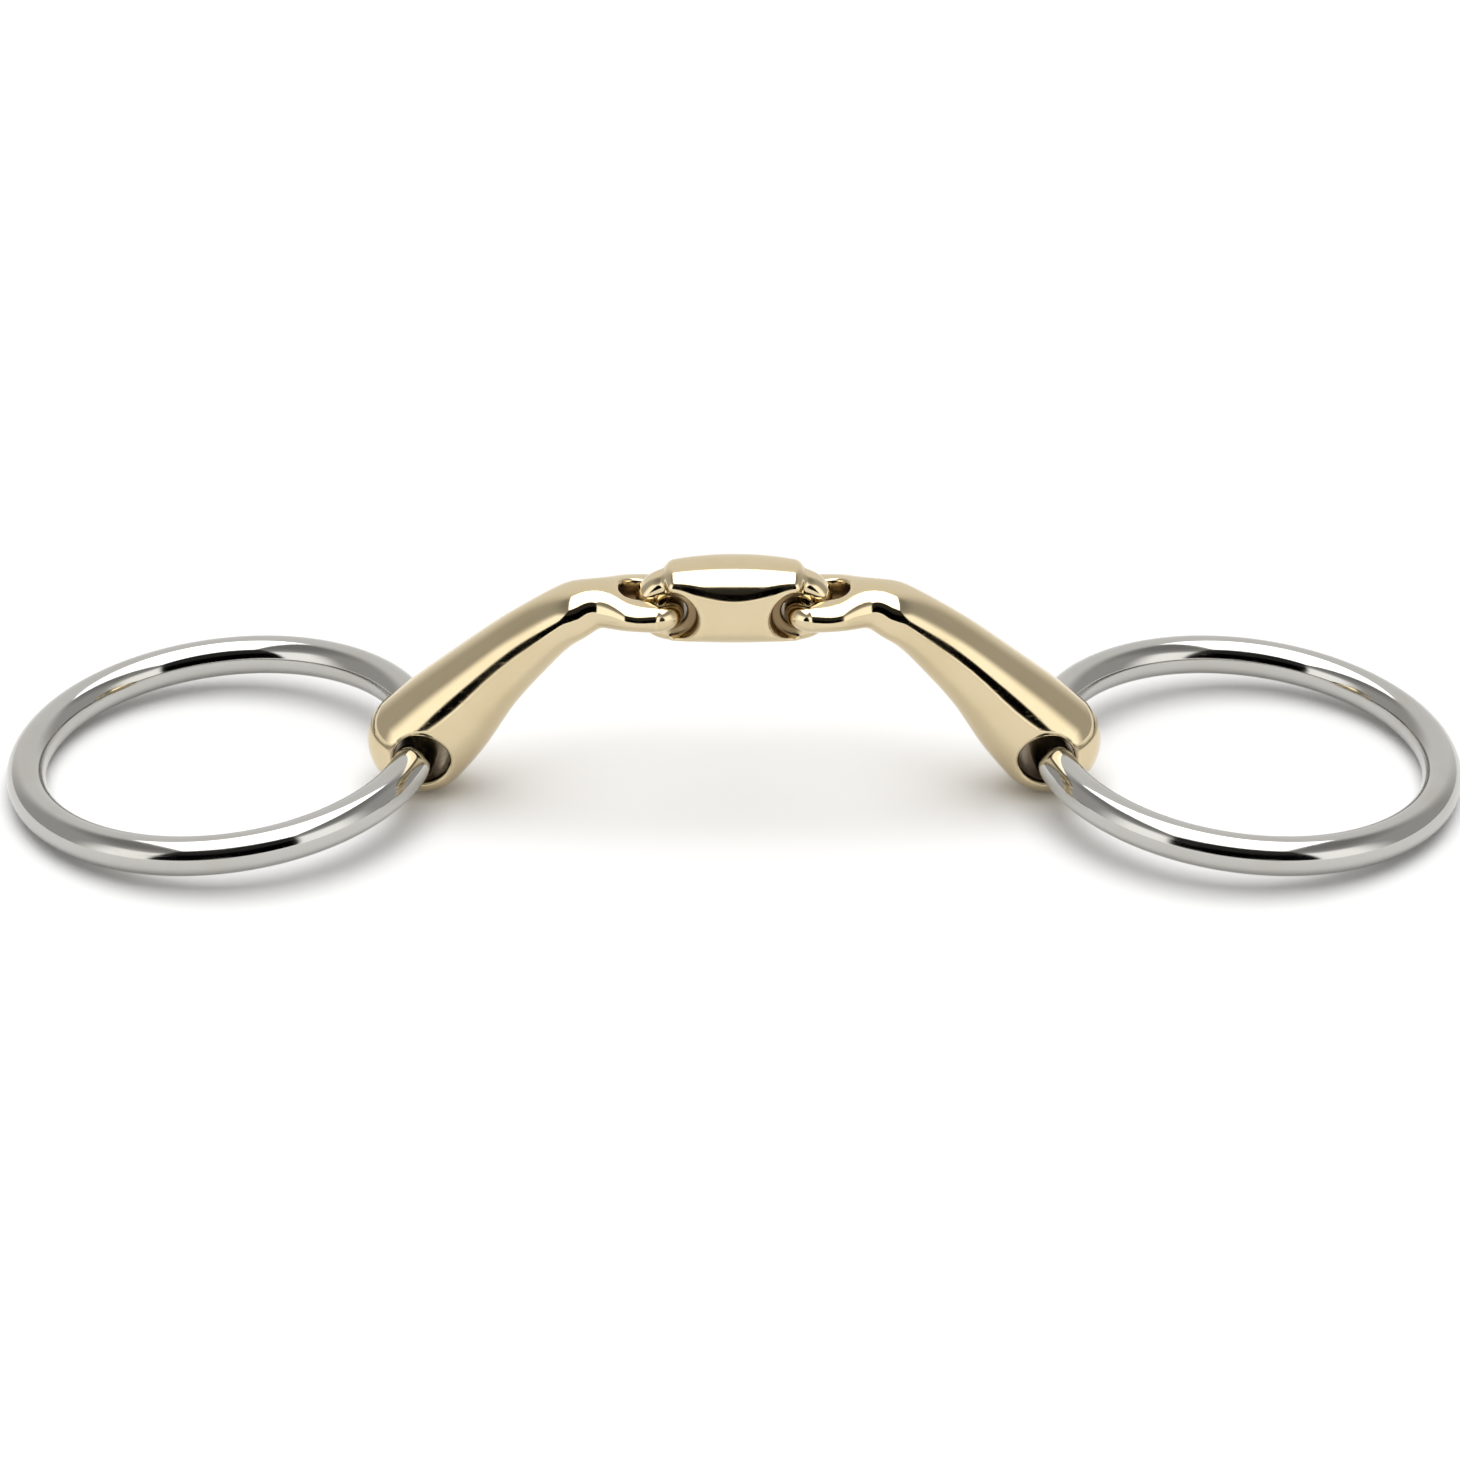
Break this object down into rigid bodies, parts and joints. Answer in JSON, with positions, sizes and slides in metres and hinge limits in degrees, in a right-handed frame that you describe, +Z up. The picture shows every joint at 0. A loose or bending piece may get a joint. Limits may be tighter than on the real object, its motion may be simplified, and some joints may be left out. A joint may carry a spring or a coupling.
{
  "type": "snaffle bit",
  "caption": "Double-jointed loose-ring snaffle bit: curved tapering cannons and a lozenge link between polished round-wire rings.",
  "frame": {"origin": "on the surface the bit lies on, under the middle of the lozenge", "axes": "+X along the bit towards the right-hand ring, +Y to the back, along the joints' axes, +Z up"},
  "size_m": [0.2604, 0.078, 0.0458],
  "materials": {
    "ring_steel": "polished stainless steel",
    "mouthpiece_alloy": "polished pale gold copper alloy"
  },
  "bodies": {
    "lozenge": {"centre_link": "mouthpiece_alloy"},
    "left_bar": {"left_cannon": "mouthpiece_alloy"},
    "right_bar": {"right_cannon": "mouthpiece_alloy"},
    "left_loose_ring": {"left_ring": "ring_steel"},
    "right_loose_ring": {"right_ring": "ring_steel"}
  },
  "joints": [
    {"name": "left_cannon_fold", "type": "hinge", "parent": "lozenge", "child": "left_bar", "pos_m": [-0.0111, 0, 0.0371], "axis": [0, 1, 0], "range_deg": [-40, 40]},
    {"name": "right_cannon_fold", "type": "hinge", "parent": "lozenge", "child": "right_bar", "pos_m": [0.0111, 0, 0.0371], "axis": [0, -1, 0], "range_deg": [-40, 40]},
    {"name": "left_ring_flap", "type": "hinge", "parent": "left_bar", "child": "left_loose_ring", "pos_m": [-0.05594, 0, 0.00981], "axis": [0, 1, 0], "range_deg": [-60, 100]},
    {"name": "right_ring_flap", "type": "hinge", "parent": "right_bar", "child": "right_loose_ring", "pos_m": [0.05594, 0, 0.00981], "axis": [0, -1, 0], "range_deg": [-60, 100]}
  ]
}
